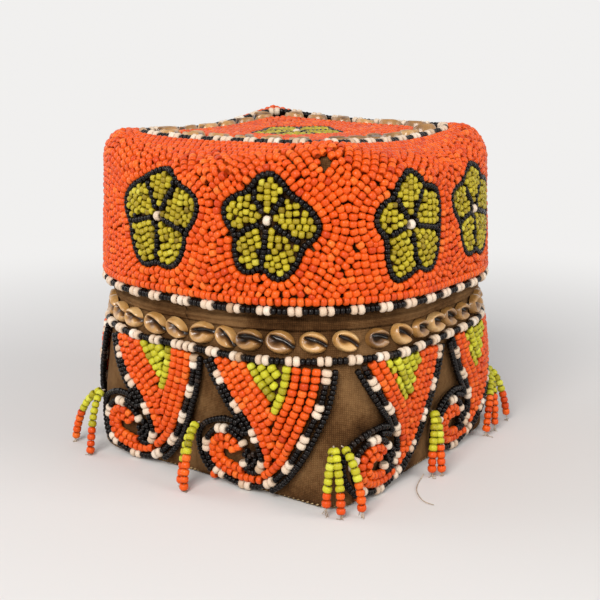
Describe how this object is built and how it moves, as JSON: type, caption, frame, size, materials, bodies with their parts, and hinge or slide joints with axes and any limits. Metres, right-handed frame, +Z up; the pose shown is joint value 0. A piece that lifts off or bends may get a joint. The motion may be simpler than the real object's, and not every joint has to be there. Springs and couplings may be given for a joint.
{
  "type": "beaded wedding box",
  "caption": "Square-based plaited box with a deep lift-off lid, covered in cloth and bead embroidery, with shells and hanging bead tassels.",
  "frame": {"origin": "middle of the underside of the basket's base, which stands on z = 0", "axes": "+Z up; -Y out of the front face, the left one of the two that the picture shows; +X out of the right one; metres"},
  "size_m": [0.1558, 0.1558, 0.1193],
  "materials": {
    "plaiting": "matte plaited palm or rattan strips",
    "brown_cloth": "coarse woven cloth, worn and faded",
    "orange_beads": "opaque glass seed beads, satin",
    "green_beads": "opaque glass seed beads, satin",
    "black_white_beads": "opaque glass beads, glossy, two white and two black by turns",
    "shell": "small cut sea shells, polished by handling"
  },
  "bodies": {
    "body": {"body_basket": "plaiting", "body_cloth_cover": "brown_cloth", "body_cloth_band": "brown_cloth", "body_bead_row": "black_white_beads", "body_shell_string_1": "shell", "body_shell_string_2": "shell", "body_shell_string_3": "shell", "body_shell_string_4": "shell", "vee_1": "orange_beads", "vee_2": "orange_beads", "vee_3": "orange_beads", "vee_4": "orange_beads", "vee_5": "orange_beads", "vee_6": "orange_beads", "vee_7": "orange_beads", "vee_8": "orange_beads", "vee_wedge_1": "green_beads", "vee_wedge_2": "green_beads", "vee_wedge_3": "green_beads", "vee_wedge_4": "green_beads", "vee_wedge_5": "green_beads", "vee_wedge_6": "green_beads", "vee_wedge_7": "green_beads", "vee_wedge_8": "green_beads"},
    "lid": {"lid_basket": "plaiting", "lid_cloth_cover": "brown_cloth", "lid_rim_bead_row": "black_white_beads", "lid_side_beadwork": "orange_beads", "lid_flower_1": "green_beads", "lid_flower_2": "green_beads", "lid_flower_3": "green_beads", "lid_flower_4": "green_beads", "lid_flower_5": "green_beads", "lid_flower_6": "green_beads", "lid_flower_7": "green_beads", "lid_flower_8": "green_beads", "lid_top_outer_beadwork": "orange_beads", "lid_top_border_row": "black_white_beads", "lid_top_shell_string_1": "shell", "lid_top_shell_string_2": "shell", "lid_top_shell_string_3": "shell", "lid_top_shell_string_4": "shell", "lid_top_field": "orange_beads", "lid_top_flower": "green_beads"},
    "tassel_body_1": {"tassel_1": "green_beads"},
    "tassel_body_2": {"tassel_2": "green_beads"},
    "tassel_body_3": {"tassel_3": "green_beads"},
    "tassel_body_4": {"tassel_4": "green_beads"},
    "tassel_body_5": {"tassel_5": "green_beads"},
    "tassel_body_6": {"tassel_6": "green_beads"},
    "tassel_body_7": {"tassel_7": "green_beads"},
    "tassel_body_8": {"tassel_8": "green_beads"}
  },
  "joints": [
    {"name": "lid_lift", "type": "slide", "parent": "body", "child": "lid", "axis": [0, 0, 1], "range_m": [0, 0.06]},
    {"name": "tassel_1_swing", "type": "hinge", "parent": "body", "child": "tassel_body_1", "pos_m": [-0.04635, -0.05792, 0.0215], "axis": [-0.7934, 0.6088, 0], "range_deg": [0, 60]},
    {"name": "tassel_2_swing", "type": "hinge", "parent": "body", "child": "tassel_body_2", "pos_m": [0.00457, -0.06344, 0.0215], "axis": [-1, 0, 0], "range_deg": [0, 60]},
    {"name": "tassel_3_swing", "type": "hinge", "parent": "body", "child": "tassel_body_3", "pos_m": [0.05593, -0.05718, 0.0215], "axis": [-0.774, -0.6332, 0], "range_deg": [0, 60]},
    {"name": "tassel_4_swing", "type": "hinge", "parent": "body", "child": "tassel_body_4", "pos_m": [0.06344, -0.00615, 0.0215], "axis": [0, -1, 0], "range_deg": [0, 60]},
    {"name": "tassel_5_swing", "type": "hinge", "parent": "body", "child": "tassel_body_5", "pos_m": [0.05452, 0.05078, 0.0215], "axis": [0.6088, -0.7934, 0], "range_deg": [0, 60]},
    {"name": "tassel_6_swing", "type": "hinge", "parent": "body", "child": "tassel_body_6", "pos_m": [-0.00117, 0.06344, 0.0215], "axis": [1, 0, 0], "range_deg": [0, 60]},
    {"name": "tassel_7_swing", "type": "hinge", "parent": "body", "child": "tassel_body_7", "pos_m": [-0.05843, 0.05429, 0.0215], "axis": [0.6088, 0.7934, 0], "range_deg": [0, 60]},
    {"name": "tassel_8_swing", "type": "hinge", "parent": "body", "child": "tassel_body_8", "pos_m": [-0.06344, -0.004, 0.0215], "axis": [0, 1, 0], "range_deg": [0, 60]}
  ]
}
